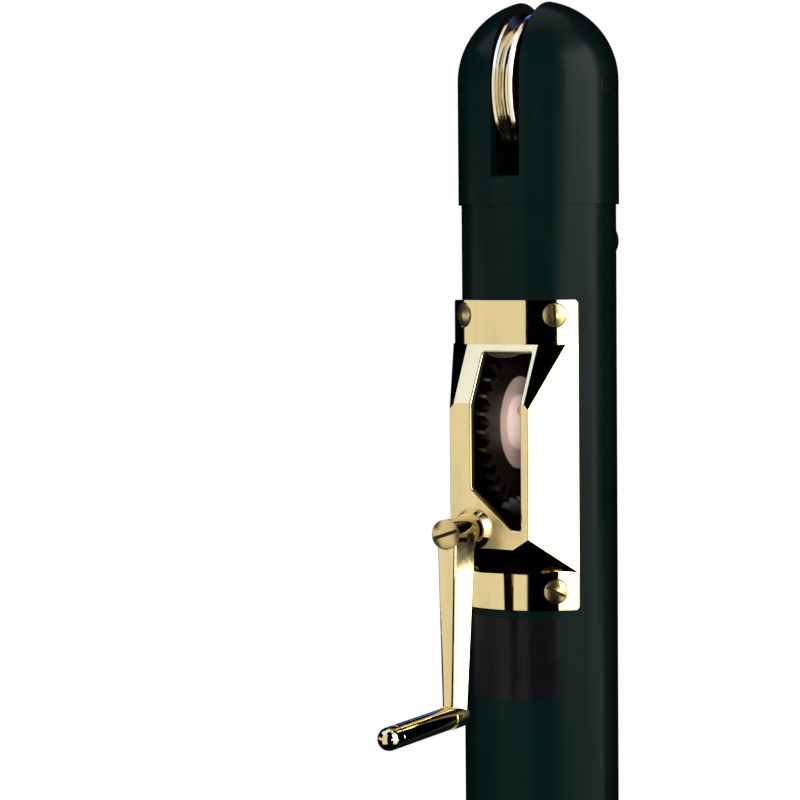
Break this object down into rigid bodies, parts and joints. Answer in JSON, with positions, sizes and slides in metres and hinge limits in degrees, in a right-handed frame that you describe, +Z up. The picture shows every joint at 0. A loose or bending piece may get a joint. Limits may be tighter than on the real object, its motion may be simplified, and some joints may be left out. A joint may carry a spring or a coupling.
{
  "type": "tennis net winch post",
  "caption": "Round steel tennis net post with a domed cap, cable sheave, brass worm winch and crank, for a ground sleeve.",
  "frame": {"origin": "tube axis at the foot of the post, at the bottom of the ground sleeve", "axes": "+Z up the post, -Y towards the winch and its operator, +Y towards the net"},
  "size_m": [0.079, 0.2267, 1.689],
  "materials": {
    "green_powder_coat": "gloss",
    "black_label": "gloss",
    "polished_brass": "polished",
    "brass_fastener": "polished",
    "copper_bronze": "polished",
    "bronze_bush": "satin",
    "gear_bronze": "satin",
    "steel": "satin",
    "galvanised_rod": "satin"
  },
  "bodies": {
    "post": {"post_tube": "green_powder_coat", "blank_label": "black_label", "top_cap": "green_powder_coat", "cap_screws": "steel", "sheave_axle": "steel", "winch_housing": "polished_brass", "housing_screws": "brass_fastener", "drum_axle": "steel", "axle_ring": "steel", "worm_front_bush": "bronze_bush", "worm_rear_bush": "bronze_bush", "lacing_rod": "galvanised_rod", "rod_eyes": "green_powder_coat"},
    "sheave_wheel": {"sheave": "polished_brass", "sheave_bush": "bronze_bush"},
    "drum": {"cable_drum": "copper_bronze", "drum_flange": "copper_bronze", "drum_bush": "bronze_bush", "clamp_screw": "steel", "worm_wheel": "gear_bronze", "wheel_screws": "steel"},
    "crank": {"worm_shaft": "steel", "thrust_washer": "bronze_bush", "worm_collar": "steel", "collar_pin": "steel", "crank_washer": "brass_fastener", "crank_arm": "polished_brass", "crank_screw": "brass_fastener", "grip_pin": "polished_brass"},
    "grip": {"grip_sleeve": "polished_brass"}
  },
  "joints": [
    {"name": "sheave_spin", "type": "hinge", "parent": "post", "child": "sheave_wheel", "pos_m": [0, -0.005, 1.646], "axis": [1, 0, 0], "continuous": true},
    {"name": "drum_spin", "type": "hinge", "parent": "post", "child": "drum", "pos_m": [0, -0.014, 1.4833], "axis": [1, 0, 0], "continuous": true},
    {"name": "crank_spin", "type": "hinge", "parent": "post", "child": "crank", "pos_m": [-0.0085, -0.014, 1.4348], "axis": [0, 1, 0], "continuous": true},
    {"name": "grip_spin", "type": "hinge", "parent": "crank", "child": "grip", "pos_m": [-0.0085, -0.088, 1.3479], "axis": [0, 1, 0], "continuous": true}
  ],
  "couplings": [
    {"joint": "crank_spin", "follows": "drum_spin", "ratio": -29}
  ]
}
